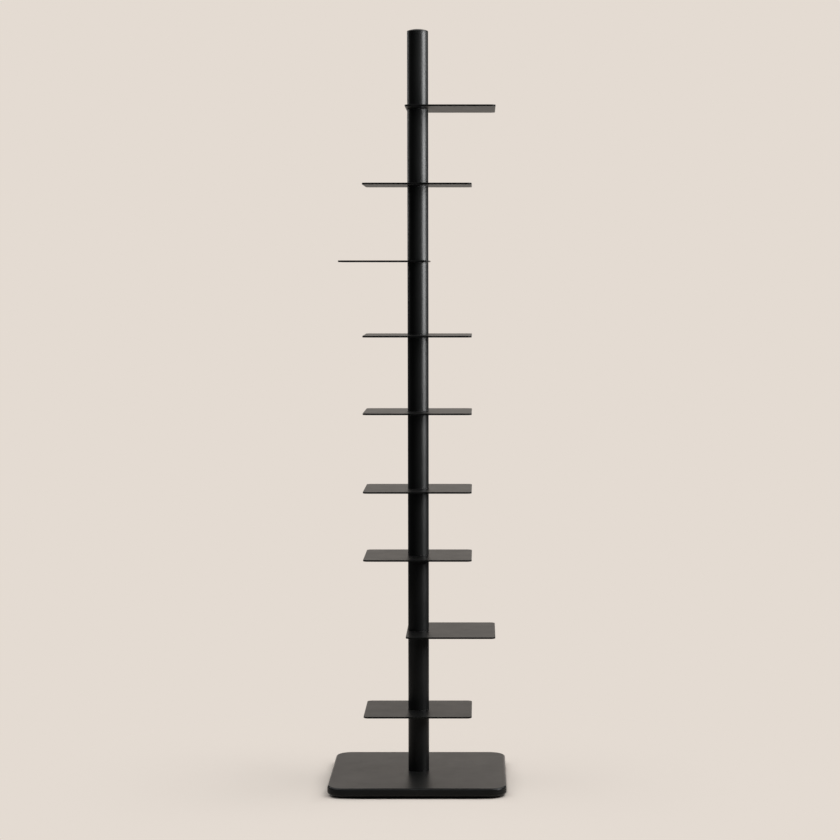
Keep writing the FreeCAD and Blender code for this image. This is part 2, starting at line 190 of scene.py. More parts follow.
def turned(name, section, edge, centres=((0.0, 0.0),), poles=None, rows=TURNED_ROWS):
    """Surface of revolution of a section of points (r, z), once about each centre (cx, cy).

    x = cx + r cos(a) and y = cy + r sin(a), with the angle a once round, and z stays. poles are the
    heights on the axis to which the first and the last point of an open section are closed.
    """
    angle = np.linspace(0, 2 * math.pi, rows, endpoint=False)[:, None]
    radius, height = section.T
    ring = np.stack([
        radius * np.cos(angle), radius * np.sin(angle), np.broadcast_to(height, (rows, len(height)))
    ], axis=-1)
    centres = np.asarray(centres, float)
    places = np.concatenate([centres, np.zeros((len(centres), 1))], axis=1)
    if poles is not None:
        tips = np.array([[0, 0, level] for level in poles])
        poles = places[:, None] + tips
    return skin(name, places[:, None, None] + ring, edge, poles)


# %% Helper that ties a piece to the frame
pieces_by_slot = {}


def stands_for(piece, node, body, slot):
    """The piece takes the place of a CAD node, moves with its body and has that slot's finish."""
    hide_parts(node)
    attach(piece, body)
    pieces_by_slot.setdefault(slot, []).append(piece)
    return piece


# %% [markdown]
# ## The post
# The post looks like one long tube, but it is ten lengths with a shelf gripped between each two. At
# every shelf a hairline shows where tube, washer and plate meet. The tube ends have a small bevel
# under the coat, so that hairline has soft shoulders. Each tube is a closed ring section: bore, end,
# bevel, outside, bevel, end.

# %% Tubes of the post
COAT, SPINE = "black_powder_coat", "spine"
TUBE_WALL = 2 * MILLIMETRE
TUBE_BEVEL = 0.3 * MILLIMETRE
BROKEN_EDGE = 0.12 * MILLIMETRE

tube_names = [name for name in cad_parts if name.startswith("spine_tube_")]
for node in tube_names:
    low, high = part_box(node)
    outside = high.x
    bore = outside - TUBE_WALL
    section, edge = eased(
        [
            (bore, low.z),
            (outside - TUBE_BEVEL, low.z),
            (outside, low.z + TUBE_BEVEL),
            (outside, high.z - TUBE_BEVEL),
            (outside - TUBE_BEVEL, high.z),
            (bore, high.z),
        ],
        radii=[BROKEN_EDGE] * 6,
        worn=[0, 1, 1, 1, 1, 0],
        steps=4,
    )
    stands_for(turned(f"{node}_skin", section, edge), node, SPINE, COAT)
print(len(tube_names), "tubes, outside diameter", round(2 * outside / MILLIMETRE, 2), "mm")

# %% [markdown]
# ## The cap
# The cap closes the top of the post. Its top is crowned, a shallow dome whose curve shows against the
# backdrop, and its rim is eased. Below it a spigot sits in the tube and takes the end of the tie rod.
# The dome is part of a large ball: a ball that falls by the crown at the rim has the radius
# (rim squared + crown squared) / (2 x crown). The section is open: it starts on the axis at the crown
# and ends on the axis inside the blind thread.

# %% Cap of the post
CAP_CROWN = 3.8 * MILLIMETRE
CAP_HEIGHT = 6 * MILLIMETRE
CAP_RIM_RADIUS = 1.5 * MILLIMETRE
CAP_SPIGOT_CLEARANCE = 0.1 * MILLIMETRE
CAP_THREAD_RADIUS = 6.05 * MILLIMETRE
CAP_THREAD_DEPTH = 20 * MILLIMETRE
DOME_SHARES = np.linspace(0.1, 0.9, 9)

low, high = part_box("top_cap")
rim = high.x
shoulder = high.z - CAP_HEIGHT
spigot = rim - TUBE_WALL - CAP_SPIGOT_CLEARANCE
ball = (rim ** 2 + CAP_CROWN ** 2) / (2 * CAP_CROWN)
dome_radius = DOME_SHARES * rim
dome = np.stack([dome_radius, high.z - ball + np.sqrt(ball ** 2 - dome_radius ** 2)], axis=-1)
below_rim, edge = eased(
    [
        dome[-1],
        (rim, high.z - CAP_CROWN),
        (rim, shoulder),
        (spigot, shoulder),
        (spigot, low.z),
        (CAP_THREAD_RADIUS, low.z),
        (CAP_THREAD_RADIUS, low.z + CAP_THREAD_DEPTH),
        (0, low.z + CAP_THREAD_DEPTH),
    ],
    radii=[CAP_RIM_RADIUS] + [BROKEN_EDGE] * 5,
    worn=[1, 1, 0, 0, 0, 0],
    closed=False,
)
cap = turned(
    "top_cap_skin",
    np.vstack([dome, below_rim]),
    np.concatenate([np.zeros(len(dome)), edge]),
    poles=(high.z, low.z + CAP_THREAD_DEPTH),
)
stands_for(cap, "top_cap", SPINE, COAT)
print("cap crown at", round(high.z, 4), "m")

# %% [markdown]
# ## Plates with round corners
# Shelves and base are plates: an outline with four round corners, an eased rim and a hole for the
# post. A plate can be cut from a cube with booleans, but its skin is again a section carried round:
# the outer part of the section follows the outline, the inner part follows the hole. So the section
# is drawn as distance from the rim, with the axis of the hole parked a whole metre inside, and each
# point is then measured from the rim or from the axis, whichever it belongs to.

# %% Outline and skin of a plate
AXIS_PARKED = 1.0
ARC_POINTS = 18
SIDE_POINTS = 60


def outline(left, right, front, back, radius):
    """Points and outward normals of a rectangle with round corners, anticlockwise.

    Corner k turns from k to k + 1 right angles about its own centre; after it, points are spread
    evenly along the straight side to the next corner.
    """
    centres = np.array([
        (right - radius, back - radius),
        (left + radius, back - radius),
        (left + radius, front + radius),
        (right - radius, front + radius),
    ])
    angle = (np.arange(4)[:, None] + np.linspace(0, 1, ARC_POINTS)) * math.pi / 2
    spokes = np.stack([np.cos(angle), np.sin(angle)], axis=-1)
    arcs = centres[:, None] + radius * spokes
    share = np.linspace(0, 1, SIDE_POINTS + 2)[1:-1, None]
    starts, ends = arcs[:, -1:], np.roll(arcs, -1, axis=0)[:, :1]
    sides = starts + (ends - starts) * share
    side_normals = np.broadcast_to(spokes[:, -1:], sides.shape)
    points = np.concatenate([arcs, sides], axis=1).reshape(-1, 2)
    normals = np.concatenate([spokes, side_normals], axis=1).reshape(-1, 2)
    return points, normals


def plate(name, rim_points, rim_normals, section, edge):
    """Skin of a plate whose hole is about the spine's axis, at x = y = 0.

    A section point nearer the parked axis than the rim is radius x the direction of its rim point;
    the others are the rim point moved in along its normal.
    """
    across, height = section.T
    by_hole = across < -AXIS_PARKED / 2
    spokes = unit(rim_points)[:, None]
    from_axis = (across + AXIS_PARKED)[:, None] * spokes
    from_rim = rim_points[:, None] + across[:, None] * rim_normals[:, None]
    flat = np.where(by_hole[:, None], from_axis, from_rim)
    levels = np.broadcast_to(height, flat.shape[:2])[..., None]
    return skin(name, np.concatenate([flat, levels], axis=-1)[None], edge)


# %% [markdown]
# ## The shelves
# Six shelves sit on the post near their middle and three reach out to one side. All are 3.4 mm sheet
# with corners of 10 mm radius, and a rim eased to 0.6 mm by the deburring and the coat. The box of
# each CAD node gives left, right, front and back, so a shelf that points the other way needs no case
# of its own. Each shelf rides on its own body, because each one turns about the post by itself.

# %% Nine shelves
SHELF_CORNER = 10 * MILLIMETRE
SHELF_RIM = 0.6 * MILLIMETRE
SHELF_HOLE = 10.1 * MILLIMETRE

shelf_names = sorted(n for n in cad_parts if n.startswith("shelf_"))
for node in shelf_names:
    low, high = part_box(node)
    rim_points, rim_normals = outline(low.x, high.x, low.y, high.y, SHELF_CORNER)
    hole = SHELF_HOLE - AXIS_PARKED
    section, edge = eased(
        [(0, low.z), (0, high.z), (hole, high.z), (hole, low.z)],
        radii=[SHELF_RIM, SHELF_RIM, BROKEN_EDGE, BROKEN_EDGE],
        worn=[1, 1, 0, 0],
    )
    shelf = plate(f"{node}_skin", rim_points, rim_normals, section, edge)
    stands_for(shelf, node, f"swivel_{node}", COAT)
    print(node, "is", [round(x / MILLIMETRE, 1) for x in (high - low)], "mm")

# %% [markdown]
# ## The base
# The base is a slab of solid steel, heavy enough to keep the tower upright. Its top edge is rounded to
# 4.5 mm, which gives the soft bright line along its front, and its under edge to 5 mm, so that the
# slab seems to float on a dark line. On top the lowest tube stands in a shallow seat; below, a round
# pocket hides the nut of the tie rod. Both are steps of the inner part of the section, so the same
# plate skin makes them.

# %% Base slab
BASE_CORNER = 34 * MILLIMETRE
BASE_TOP_EDGE = 4.5 * MILLIMETRE
BASE_UNDER_EDGE = 5 * MILLIMETRE
SEAT_DEPTH = 1.5 * MILLIMETRE
SEAT_RADIUS = 21.3 * MILLIMETRE
ROD_HOLE_RADIUS = 6.3 * MILLIMETRE
POCKET_RADIUS = 16.392 * MILLIMETRE
POCKET_DEPTH = 10.5 * MILLIMETRE
POCKET_EDGE = 0.4 * MILLIMETRE

low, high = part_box("base_slab")
rim_points, rim_normals = outline(low.x, high.x, low.y, high.y, BASE_CORNER)
seat, rod_hole, pocket = (r - AXIS_PARKED for r in (SEAT_RADIUS, ROD_HOLE_RADIUS, POCKET_RADIUS))
section, edge = eased(
    [
        (0, low.z),
        (0, high.z),
        (seat, high.z),
        (seat, high.z - SEAT_DEPTH),
        (rod_hole, high.z - SEAT_DEPTH),
        (rod_hole, low.z + POCKET_DEPTH),
        (pocket, low.z + POCKET_DEPTH),
        (pocket, low.z),
    ],
    radii=[BASE_UNDER_EDGE, BASE_TOP_EDGE] + [BROKEN_EDGE] * 5 + [POCKET_EDGE],
    worn=[1, 1, 0, 0, 0, 0, 0, 1],
    steps=10,
)
base = plate("base_slab_skin", rim_points, rim_normals, section, edge)
stands_for(base, "base_slab", SPINE, COAT)
print("base is", [round(x / MILLIMETRE, 1) for x in (high - low)], "mm")

# %% [markdown]
# ## The glides
# Four nylon glides lift the slab off the floor, so that it rests on four points and leaves a thin dark
# gap. Each is a disc with a rounded lower rim and a stem pushed into the slab. One turned section is
# set at four places, and the four shells make one piece, as they make one node in the CAD model.

# %% Four glides
GLIDE_RADIUS = 14 * MILLIMETRE
GLIDE_HEIGHT = 3.5 * MILLIMETRE
GLIDE_RIM = 1 * MILLIMETRE
GLIDE_STEM_RADIUS = 4 * MILLIMETRE
GLIDE_DISH = 0.3 * MILLIMETRE
GLIDE_DISH_RADIUS = 5 * MILLIMETRE
GLIDE_ROWS = 64

low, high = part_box("base_glides")
reach = high.x - GLIDE_RADIUS
section, edge = eased(
    [
        (0, low.z + GLIDE_DISH),
        (GLIDE_DISH_RADIUS, low.z + GLIDE_DISH),
        (GLIDE_DISH_RADIUS + GLIDE_DISH, low.z),
        (GLIDE_RADIUS, low.z),
        (GLIDE_RADIUS, low.z + GLIDE_HEIGHT),
        (GLIDE_STEM_RADIUS, low.z + GLIDE_HEIGHT),
        (GLIDE_STEM_RADIUS, high.z),
        (0, high.z),
    ],
    radii=[BROKEN_EDGE, BROKEN_EDGE, GLIDE_RIM, BROKEN_EDGE, BROKEN_EDGE, GLIDE_RIM],
    worn=[0, 0, 1, 0, 0, 0],
    closed=False,
)
corners = [(x, y) for x in (-reach, reach) for y in (-reach, reach)]
glides = turned(
    "base_glides_skin",
    section,
    edge,
    corners,
    poles=(low.z + GLIDE_DISH, high.z),
    rows=GLIDE_ROWS,
)
stands_for(glides, "base_glides", SPINE, "black_nylon")
print("glides at", [tuple(round(c, 3) for c in place) for place in corners])

# %% [markdown]
# ## The tie rod
# One steel rod runs from under the base to the cap and clamps the whole stack. Only its lower end can
# be seen, in the pocket of the base. A thread is a helix, and on a grid that is simple: the radius
# depends on the height less the share of the turn, so one triangle wave of that sum cuts the whole
# groove. It fades out along the plain shank, and the ends are chamfered by a limit on the radius.

# %% Threaded rod
THREAD_PITCH = 1.75 * MILLIMETRE
THREAD_DEPTH = 1.07 * MILLIMETRE
THREAD_LENGTH = 30 * MILLIMETRE
THREAD_RUNOUT = 4 * MILLIMETRE
CREST_SHARE, ROOT_SHARE = 0.125, 0.25
POINTS_PER_PITCH = 14
ROD_ROWS = 64
ROD_CHAMFER = 1 * MILLIMETRE
PLAIN_SHARE = 0.2

low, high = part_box("tie_rod")
from_end = np.arange(0, THREAD_LENGTH + THREAD_RUNOUT, THREAD_PITCH / POINTS_PER_PITCH)
height = np.concatenate([low.z + from_end, high.z - from_end[::-1]])
turn = np.linspace(0, 1, ROD_ROWS, endpoint=False)[:, None]
phase = (height / THREAD_PITCH - turn) % 1
groove = np.clip((np.abs(2 * phase - 1) - CREST_SHARE) / (1 - CREST_SHARE - ROOT_SHARE), 0, 1)
depth_here = np.minimum(height - low.z, high.z - height)
runout_left = (THREAD_LENGTH + THREAD_RUNOUT - depth_here) / THREAD_RUNOUT
fade = np.clip(runout_left - PLAIN_SHARE, 0, 1)
radius = np.minimum(high.x - THREAD_DEPTH * groove * fade, high.x - ROD_CHAMFER + depth_here)
grid = np.stack([
    radius * np.cos(2 * math.pi * turn),
    radius * np.sin(2 * math.pi * turn),
    np.broadcast_to(height, radius.shape),
], axis=-1)
rod = skin(
    "tie_rod_skin",
    grid[None],
    np.zeros(len(height)),
    poles=np.array([[[0, 0, low.z], [0, 0, high.z]]]),
)
stands_for(rod, "tie_rod", SPINE, "zinc_plated_steel")
print("rod from", round(low.z, 4), "to", round(high.z, 4), "m,", len(rod.data.polygons), "faces")

# %% [markdown]
# ## Nut and washer
# The nut is a hexagon whose corners are turned off at both ends, which gives each flat its curved
# top. A cube or cylinder can't show that. Here the radius is the smaller of two: the hexagon's own,
# which depends on the angle, and a cone's, which depends on the height.

# %% Clamp nut and washer
NUT_BORE = 6.05 * MILLIMETRE
NUT_COUNTERSINK = 0.5 * MILLIMETRE
NUT_FACE_RADIUS = 8.792 * MILLIMETRE
NUT_CONE_SLOPE = 2.0
FLAT_ROWS, NUT_SIDE_POINTS = 24, 40
NUT_SHARP_ANGLE = math.radians(20)

low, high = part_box("clamp_nut")
angle = np.linspace(0, 2 * math.pi, 6 * FLAT_ROWS, endpoint=False)[:, None]
apothem = high.x * math.cos(math.pi / 6)
hexagon = apothem / np.cos(angle % (math.pi / 3) - math.pi / 6)
share = (1 - np.cos(np.linspace(0, math.pi, NUT_SIDE_POINTS))) / 2
side_height = low.z + (high.z - low.z) * share
from_face = np.minimum(side_height - low.z, high.z - side_height)
side_radius = np.minimum(hexagon, NUT_FACE_RADIUS + NUT_CONE_SLOPE * from_face)
bore_radius = NUT_BORE + NUT_COUNTERSINK * np.array([1, 0, 0, 1])
bore_height = np.array([high.z, high.z - NUT_COUNTERSINK, low.z + NUT_COUNTERSINK, low.z])
radius = np.concatenate([side_radius, np.broadcast_to(bore_radius, (len(angle), 4))], axis=1)
height = np.concatenate([side_height, bore_height])
grid = np.stack([
    radius * np.cos(angle), radius * np.sin(angle), np.broadcast_to(height, radius.shape)
], axis=-1)
nut = skin("clamp_nut_skin", grid[None], np.zeros(len(height)), sharp=NUT_SHARP_ANGLE)
stands_for(nut, "clamp_nut", SPINE, "zinc_plated_steel")

WASHER_BORE = 6.5 * MILLIMETRE
WASHER_EDGE = 0.3 * MILLIMETRE
low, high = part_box("clamp_washer")
section, edge = eased(
    [(WASHER_BORE, low.z), (high.x, low.z), (high.x, high.z), (WASHER_BORE, high.z)],
    radii=[WASHER_EDGE] * 4,
    worn=[0, 1, 1, 0],
)
stands_for(turned("clamp_washer_skin", section, edge), "clamp_washer", SPINE, "zinc_plated_steel")
print("nut across corners", round(2 * apothem / math.cos(math.pi / 6) / MILLIMETRE, 2), "mm")

# %% [markdown]
# ## What stays as the CAD made it
# Plugs, pivot bushes and slip washers are plain turned rings inside the post. Their CAD solids already
# have the right shape, so they stay and only get a finish.

# %% Nodes that keep their CAD mesh
kept_nodes = {
    "tube_plugs_": "turned_aluminium",
    "pivot_bush_": "bush_brass",
    "slip_washers_": "black_nylon",
}
for start, slot in kept_nodes.items():
    kept = [piece for name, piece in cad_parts.items() if name.startswith(start)]
    pieces_by_slot.setdefault(slot, []).extend(kept)
    print(len(kept), "nodes named", start, "keep their mesh")

# %% [markdown]
# ## Effects that several finishes share
# A finish is built from a few effects: the faint orange peel of a coat that flowed as it melted,
# the fine rings that a lathe leaves, the thin coat on edges, and the dust that settles on level
# faces. Each is a node group, made once and used with its own values, so a change shows everywhere.

# %% Node helpers
VALUE, VECTOR = "NodeSocketFloat", "NodeSocketVector"


def new_group(name, inputs, outputs):
    """Empty shader group with named value or vector sockets; gives its tree, input and output node."""
    tree = bpy.data.node_groups.new(name, "ShaderNodeTree")
    for label, kind in inputs:
        tree.interface.new_socket(name=label, in_out="INPUT", socket_type=kind)
    for label, kind in outputs:
        tree.interface.new_socket(name=label, in_out="OUTPUT", socket_type=kind)
    return tree, tree.nodes.new("NodeGroupInput"), tree.nodes.new("NodeGroupOutput")


def feed(tree, socket, value):
    """Set an input socket, or link it where the value is the output of another node."""
    if isinstance(value, bpy.types.NodeSocket):
        tree.links.new(value, socket)
    else:
        socket.default_value = value


def add(tree, kind, settings=None, **sockets):
    """New node with some settings, and with some of its input sockets fed.

    A socket goes by its name, with _ for each space, or by its number, such as _0.
    """
    node = tree.nodes.new(kind)
    for key, value in (settings or {}).items():
        setattr(node, key, value)
    for key, value in sockets.items():
        place = int(key[1:]) if key[1:].isdigit() else key.replace("_", " ")
        feed(tree, node.inputs[place], value)
    return node


def combined(tree, operation, first, second):
    """One number from two, such as their sum, their product or the greater one."""
    return add(tree, "ShaderNodeMath", {"operation": operation}, _0=first, _1=second).outputs[0]


def on_vector(tree, operation, first, second=(0, 0, 0)):
    """Outputs of a node that works on one or two vectors: Vector, or Value where that is a number."""
    settings = {"operation": operation}
    return add(tree, "ShaderNodeVectorMath", settings, _0=first, _1=second).outputs


def remap(tree, value, low, high, new_low, new_high):
    """Value carried from one range to another and held inside it."""
    node = add(
        tree,
        "ShaderNodeMapRange",
        Value=value,
        From_Min=low,
        From_Max=high,
        To_Min=new_low,
        To_Max=new_high,
    )
    return node.outputs["Result"]


# %% Orange peel
GRAIN_SHARE = 0.18
MOTTLE_PER_METRE = 22.0
NOISE_LOW, NOISE_HIGH = 0.3, 0.7

peel_tree, peel_in, peel_out = new_group(
    "orange_peel",
    [("Coordinates", VECTOR), ("Peel per metre", VALUE), ("Grain per metre", VALUE)],
    [("Height", VALUE), ("Mottle", VALUE)],
)
peel = add(
    peel_tree,
    "ShaderNodeTexNoise",
    Vector=peel_in.outputs["Coordinates"],
    Scale=peel_in.outputs["Peel per metre"],
    Detail=2.0,
    Roughness=0.45,
)
grain = add(
    peel_tree,
    "ShaderNodeTexNoise",
    Vector=peel_in.outputs["Coordinates"],
    Scale=peel_in.outputs["Grain per metre"],
    Detail=1.0,
)
mottle = add(
    peel_tree,
    "ShaderNodeTexNoise",
    Vector=peel_in.outputs["Coordinates"],
    Scale=MOTTLE_PER_METRE,
    Detail=4.0,
    Roughness=0.6,
)
fine = combined(peel_tree, "MULTIPLY", grain.outputs[0], GRAIN_SHARE)
relief = combined(peel_tree, "ADD", peel.outputs[0], fine)
blotches = remap(peel_tree, mottle.outputs[0], NOISE_LOW, NOISE_HIGH, 0.0, 1.0)
feed(peel_tree, peel_out.inputs["Height"], relief)
feed(peel_tree, peel_out.inputs["Mottle"], blotches)

# %% Thin coat on edges
BREAKUP_PER_METRE = 140.0
BREAKUP_LOW, BREAKUP_HIGH = 0.35, 0.65
LEAST_WEAR = 0.35
WEAR_POWER = 2.0

thin_tree, thin_in, thin_out = new_group(
    "thin_edge", [("Coordinates", VECTOR), ("Edge", VALUE)], [("Mask", VALUE)]
)
breakup = add(
    thin_tree,
    "ShaderNodeTexNoise",
    Vector=thin_in.outputs["Coordinates"],
    Scale=BREAKUP_PER_METRE,
    Detail=5.0,
)
uneven = remap(thin_tree, breakup.outputs[0], BREAKUP_LOW, BREAKUP_HIGH, LEAST_WEAR, 1.0)
narrow = combined(thin_tree, "POWER", thin_in.outputs["Edge"], WEAR_POWER)
feed(thin_tree, thin_out.inputs["Mask"], combined(thin_tree, "MULTIPLY", narrow, uneven))

# %% Settled dust
SPECKS_PER_METRE, DRIFT_PER_METRE = 420.0, 9.0
SPECK_CORE, SPECK_RIM = 0.05, 0.16
DRIFT_BARE, DRIFT_COVERED = 0.42, 0.68
VEIL_THIN, VEIL_THICK = 0.15, 0.25
LEANING, LEVEL = 0.92, 0.99

dust_tree, dust_in, dust_out = new_group(
    "settled_dust", [("Coordinates", VECTOR), ("Level", VALUE)], [("Mask", VALUE)]
)
specks = add(
    dust_tree,
    "ShaderNodeTexVoronoi",
    Vector=dust_in.outputs["Coordinates"],
    Scale=SPECKS_PER_METRE,
)
drift = add(
    dust_tree,
    "ShaderNodeTexNoise",
    Vector=dust_in.outputs["Coordinates"],
    Scale=DRIFT_PER_METRE,
    Detail=6.0,
)
speck = remap(dust_tree, specks.outputs["Distance"], SPECK_CORE, SPECK_RIM, 1.0, 0.0)
drifted = remap(dust_tree, drift.outputs[0], DRIFT_BARE, DRIFT_COVERED, 0.0, 1.0)
veil = remap(dust_tree, drift.outputs[0], NOISE_LOW, NOISE_HIGH, VEIL_THIN, VEIL_THICK)
lying = remap(dust_tree, dust_in.outputs["Level"], LEANING, LEVEL, 0.0, 1.0)
dust = combined(dust_tree, "MAXIMUM", combined(dust_tree, "MULTIPLY", drifted, speck), veil)
feed(dust_tree, dust_out.inputs["Mask"], combined(dust_tree, "MULTIPLY", dust, lying))

# %% Lathe marks
lathe_tree, lathe_in, lathe_out = new_group(
    "lathe_marks", [("Coordinates", VECTOR), ("Rings per metre", VALUE)], [("Height", VALUE)]
)
split = add(lathe_tree, "ShaderNodeSeparateXYZ", Vector=lathe_in.outputs["Coordinates"]).outputs
flat = add(lathe_tree, "ShaderNodeCombineXYZ", X=split["X"], Y=split["Y"]).outputs[0]
from_axis = on_vector(lathe_tree, "LENGTH", flat)["Value"]
cutter = add(lathe_tree, "ShaderNodeCombineXYZ", X=from_axis, Z=split["Z"]).outputs[0]
rings = add(
    lathe_tree,
    "ShaderNodeTexNoise",
    Vector=cutter,
    Scale=lathe_in.outputs["Rings per metre"],
    Detail=3.0,
)
feed(lathe_tree, lathe_out.inputs["Height"], rings.outputs[0])
print("shared effects:", [tree.name for tree in bpy.data.node_groups])

# %% [markdown]
# ## Black powder coat
# Powder is sprayed on dry and melted in an oven, so it has no brush marks. It levels into a satin skin
# with a faint orange peel a few millimetres across. The black is nearly neutral, and the gloss varies
# a little where the coat is thicker. On the edges it is thinner, and hands have polished it. The
# undersides get less powder and stay duller, and a thin veil of dust lies on the level tops. That the
# tops look so much lighter isn't paint: seen at a low angle, satin black mirrors the pale backdrop,
# and the shader's own Fresnel gives that.

# %% Material helpers
def new_finish(name):
    """Material with a plain shader; gives the material, its tree, its shader and its coordinates."""
    finish = bpy.data.materials.new(name)
    finish.use_nodes = True
    tree = finish.node_tree
    shader = next(node for node in tree.nodes if node.type == "BSDF_PRINCIPLED")
    coordinates = add(tree, "ShaderNodeTexCoord").outputs["Object"]
    return finish, tree, shader, coordinates


def use_group(tree, group, **sockets):
    """Outputs of a shared effect, with its input sockets fed."""
    return add(tree, "ShaderNodeGroup", {"node_tree": group}, **sockets).outputs


def mix_colours(tree, share, first, second):
    """Colour mixed from two others, each a colour or a linked output."""
    node = add(tree, "ShaderNodeMix", {"data_type": "RGBA"}, Factor=share)
    for label, colour in (("A", first), ("B", second)):
        feed(tree, next(s for s in node.inputs if s.name == label and s.type == "RGBA"), colour)
    return next(s for s in node.outputs if s.type == "RGBA")


# %% Powder coat material
COAT_BLACK = (0.0050, 0.0053, 0.0052, 1)
COAT_BLACK_THICK = (0.0064, 0.0067, 0.0066, 1)
COAT_THIN = (0.022, 0.022, 0.022, 1)
DUST_GREY = (0.30, 0.28, 0.26, 1)
DUST_SHARE = 0.10
THIN_SHARE = 0.5
COAT_INDEX = 1.25
COAT_SMOOTH, COAT_DULL = 0.35, 0.39
DRY_UNDERSIDE = 0.06
EDGE_POLISH = 0.42
COAT_PEEL, COAT_GRAIN = 420.0, 2600.0
PEEL_STRENGTH, PEEL_HEIGHT = 0.35, 0.06 * MILLIMETRE

coat, tree, shader, coordinates = new_finish("black_powder_coat")
powder = use_group(
    tree, peel_tree, Coordinates=coordinates, Peel_per_metre=COAT_PEEL, Grain_per_metre=COAT_GRAIN
)
edge_value = add(tree, "ShaderNodeAttribute", {"attribute_name": "edge"}).outputs["Fac"]
thin = use_group(tree, thin_tree, Coordinates=coordinates, Edge=edge_value)["Mask"]
facing = add(tree, "ShaderNodeNewGeometry").outputs["Normal"]
upward = add(tree, "ShaderNodeSeparateXYZ", Vector=facing).outputs["Z"]
dusty = use_group(tree, dust_tree, Coordinates=coordinates, Level=upward)["Mask"]
black = mix_colours(tree, powder["Mottle"], COAT_BLACK, COAT_BLACK_THICK)
black = mix_colours(tree, combined(tree, "MULTIPLY", thin, THIN_SHARE), black, COAT_THIN)
black = mix_colours(tree, combined(tree, "MULTIPLY", dusty, DUST_SHARE), black, DUST_GREY)
feed(tree, shader.inputs["Base Color"], black)
satin = remap(tree, powder["Mottle"], 0.0, 1.0, COAT_SMOOTH, COAT_DULL)
dry = remap(tree, upward, -LEVEL, -LEANING, DRY_UNDERSIDE, 0.0)
polish = remap(tree, edge_value, 0.0, 1.0, 1.0, EDGE_POLISH)
satin = combined(tree, "MULTIPLY", combined(tree, "ADD", satin, dry), polish)
feed(tree, shader.inputs["Roughness"], satin)
bump = add(
    tree, "ShaderNodeBump", Strength=PEEL_STRENGTH, Distance=PEEL_HEIGHT, Height=powder["Height"]
)
feed(tree, shader.inputs["Normal"], bump.outputs["Normal"])
feed(tree, shader.inputs["IOR"], COAT_INDEX)
finishes = {COAT: coat}
print("powder coat has", len(tree.nodes), "nodes")

# %% [markdown]
# ## The hidden metals and the nylon
# Rod, nut and washer are zinc plated: a cool bright grey with a faint yellow and blue cast where the
# passivation is uneven. Plugs are turned aluminium and bushes brass, both with rings from the lathe.
# The nylon glides and washers are matt, with the fine grain of their mould.

# %% Zinc, aluminium and brass
ZINC_BLUE, ZINC_YELLOW = (0.56, 0.58, 0.61, 1), (0.62, 0.60, 0.53, 1)
ALUMINIUM_PALE, ALUMINIUM_DULL = (0.78, 0.78, 0.78, 1), (0.64, 0.64, 0.65, 1)
BRASS_BRIGHT, BRASS_DULL = (0.78, 0.57, 0.25, 1), (0.55, 0.37, 0.16, 1)
METAL_BLOTCH, METAL_GRAIN = 260.0, 3000.0
CAST_LOW, CAST_HIGH = 0.4, 0.75
LATHE_HEIGHT = 0.05 * MILLIMETRE
metal_looks = {
    "zinc_plated_steel": dict(
        bright=ZINC_BLUE, dull=ZINC_YELLOW, smooth=0.26, rough=0.42, rings=900.0, marks=0.12
    ),
    "turned_aluminium": dict(
        bright=ALUMINIUM_PALE, dull=ALUMINIUM_DULL, smooth=0.24, rough=0.38, rings=2600.0, marks=0.3
    ),
    "bush_brass": dict(
        bright=BRASS_BRIGHT, dull=BRASS_DULL, smooth=0.2, rough=0.36, rings=2600.0, marks=0.3
    ),
}

for name, look in metal_looks.items():
    metal, tree, shader, coordinates = new_finish(name)
    blotch = use_group(
        tree,
        peel_tree,
        Coordinates=coordinates,
        Peel_per_metre=METAL_BLOTCH,
        Grain_per_metre=METAL_GRAIN,
    )
    lathe = use_group(tree, lathe_tree, Coordinates=coordinates, Rings_per_metre=look["rings"])
    cast = remap(tree, blotch["Height"], CAST_LOW, CAST_HIGH, 0.0, 1.0)
    feed(tree, shader.inputs["Base Color"], mix_colours(tree, cast, look["bright"], look["dull"]))
    gloss = remap(tree, blotch["Mottle"], 0.0, 1.0, look["smooth"], look["rough"])
    feed(tree, shader.inputs["Roughness"], gloss)
    bump = add(
        tree, "ShaderNodeBump", Strength=look["marks"], Distance=LATHE_HEIGHT, Height=lathe["Height"]
    )
    feed(tree, shader.inputs["Normal"], bump.outputs["Normal"])
    feed(tree, shader.inputs["Metallic"], 1.0)
    finishes[name] = metal

# %% Nylon
NYLON_BLACK, NYLON_GREY = (0.011, 0.011, 0.012, 1), (0.020, 0.020, 0.021, 1)
NYLON_SMOOTH, NYLON_DULL = 0.5, 0.62
NYLON_PEEL, NYLON_GRAIN = 900.0, 5200.0
MOULD_STRENGTH, MOULD_HEIGHT = 0.5, 0.08 * MILLIMETRE

nylon, tree, shader, coordinates = new_finish("black_nylon")
moulded = use_group(
    tree, peel_tree, Coordinates=coordinates, Peel_per_metre=NYLON_PEEL, Grain_per_metre=NYLON_GRAIN
)
colour = mix_colours(tree, moulded["Mottle"], NYLON_BLACK, NYLON_GREY)
feed(tree, shader.inputs["Base Color"], colour)
gloss = remap(tree, moulded["Mottle"], 0.0, 1.0, NYLON_SMOOTH, NYLON_DULL)
feed(tree, shader.inputs["Roughness"], gloss)
bump = add(
    tree, "ShaderNodeBump", Strength=MOULD_STRENGTH, Distance=MOULD_HEIGHT, Height=moulded["Height"]
)
feed(tree, shader.inputs["Normal"], bump.outputs["Normal"])
finishes["black_nylon"] = nylon

# %% Give each piece its finish
for slot, members in pieces_by_slot.items():
    for piece in members:
        piece.data.materials.clear()
        piece.data.materials.append(finishes[slot])
    print(slot, "on", len(members), "pieces")

